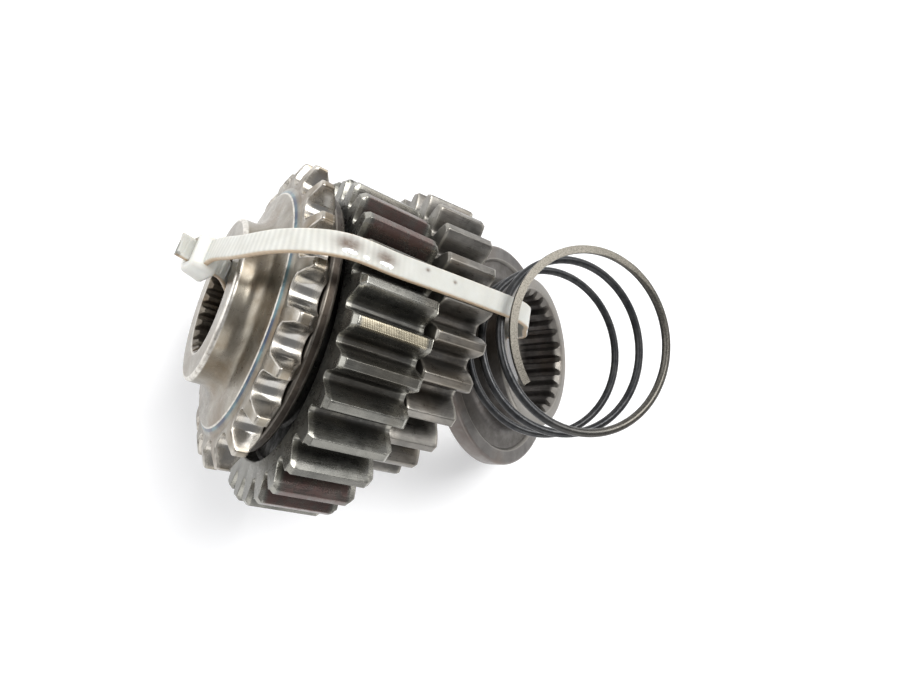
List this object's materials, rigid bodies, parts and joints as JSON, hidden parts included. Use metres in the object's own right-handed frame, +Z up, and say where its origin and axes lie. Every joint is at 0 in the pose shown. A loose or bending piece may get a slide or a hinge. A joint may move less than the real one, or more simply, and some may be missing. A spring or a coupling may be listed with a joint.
{
  "type": "gearbox shaft set",
  "caption": "Used gearbox parts strung on a nylon cable tie: a chain sprocket with a splined hub, a thrust disc, spur gears, a flanged sliding sleeve and a coil spring.",
  "frame": {"origin": "middle of the box around the set, on the surface that it lies on", "axes": "+Z up from that surface; +X the level heading of the sprocket and wide gear axis, from the sprocket hub towards the gears; +Y to the left of that"},
  "size_m": [0.1058, 0.0798, 0.0771],
  "materials": {
    "sprocket_steel": "satin steel, worn bright on the tooth tips and the hub, with a heat-tinted flange edge",
    "thrust_disc_steel": "brown-grey oily steel with a bright rounded rim",
    "wide_gear_steel": "dark ground and hardened gear steel, polished on the flanks",
    "narrow_gear_steel": "dark grey-brown gear steel with rounded, worn tooth ends",
    "bush_bronze": "oil-stained bearing bronze",
    "sleeve_steel": "dark hardened steel with a lighter end face and a polished flange",
    "spring_steel": "blackened spring wire, bare speckled steel on the ground end",
    "tie_nylon": "natural nylon, faintly ribbed, with one brown scorch"
  },
  "bodies": {
    "cable_tie": {"cable_tie": "tie_nylon"},
    "sprocket": {"sprocket": "sprocket_steel"},
    "thrust_disc": {"thrust_disc": "thrust_disc_steel"},
    "wide_gear": {"wide_gear": "wide_gear_steel", "wide_gear_bush": "bush_bronze"},
    "narrow_gear": {"narrow_gear": "narrow_gear_steel", "narrow_gear_bush": "bush_bronze"},
    "sleeve": {"sliding_sleeve": "sleeve_steel"},
    "spring": {"spring": "spring_steel"}
  },
  "joints": [
    {"name": "sprocket_turn", "type": "hinge", "parent": "cable_tie", "child": "sprocket", "pos_m": [-0.03689, 0.00006, 0.04238], "axis": [0.9646, 0, -0.2639], "continuous": true},
    {"name": "thrust_disc_turn", "type": "hinge", "parent": "cable_tie", "child": "thrust_disc", "pos_m": [-0.03689, 0.00006, 0.04238], "axis": [0.9646, 0, -0.2639], "continuous": true},
    {"name": "wide_gear_turn", "type": "hinge", "parent": "cable_tie", "child": "wide_gear", "pos_m": [-0.02779, -0.00254, 0.03998], "axis": [0.9646, 0, -0.2639], "continuous": true},
    {"name": "narrow_gear_turn", "type": "hinge", "parent": "cable_tie", "child": "narrow_gear", "pos_m": [-0.00919, 0.00596, 0.03538], "axis": [0.9755, 0.029, -0.2181], "continuous": true},
    {"name": "sleeve_turn", "type": "hinge", "parent": "cable_tie", "child": "sleeve", "pos_m": [0.03481, 0.01326, 0.03058], "axis": [0.6043, 0.2843, 0.7443], "continuous": true},
    {"name": "spring_turn", "type": "hinge", "parent": "cable_tie", "child": "spring", "pos_m": [0.03001, 0.01526, 0.06908], "axis": [0.0493, 0.1826, 0.982], "range_deg": [0, 120]}
  ]
}
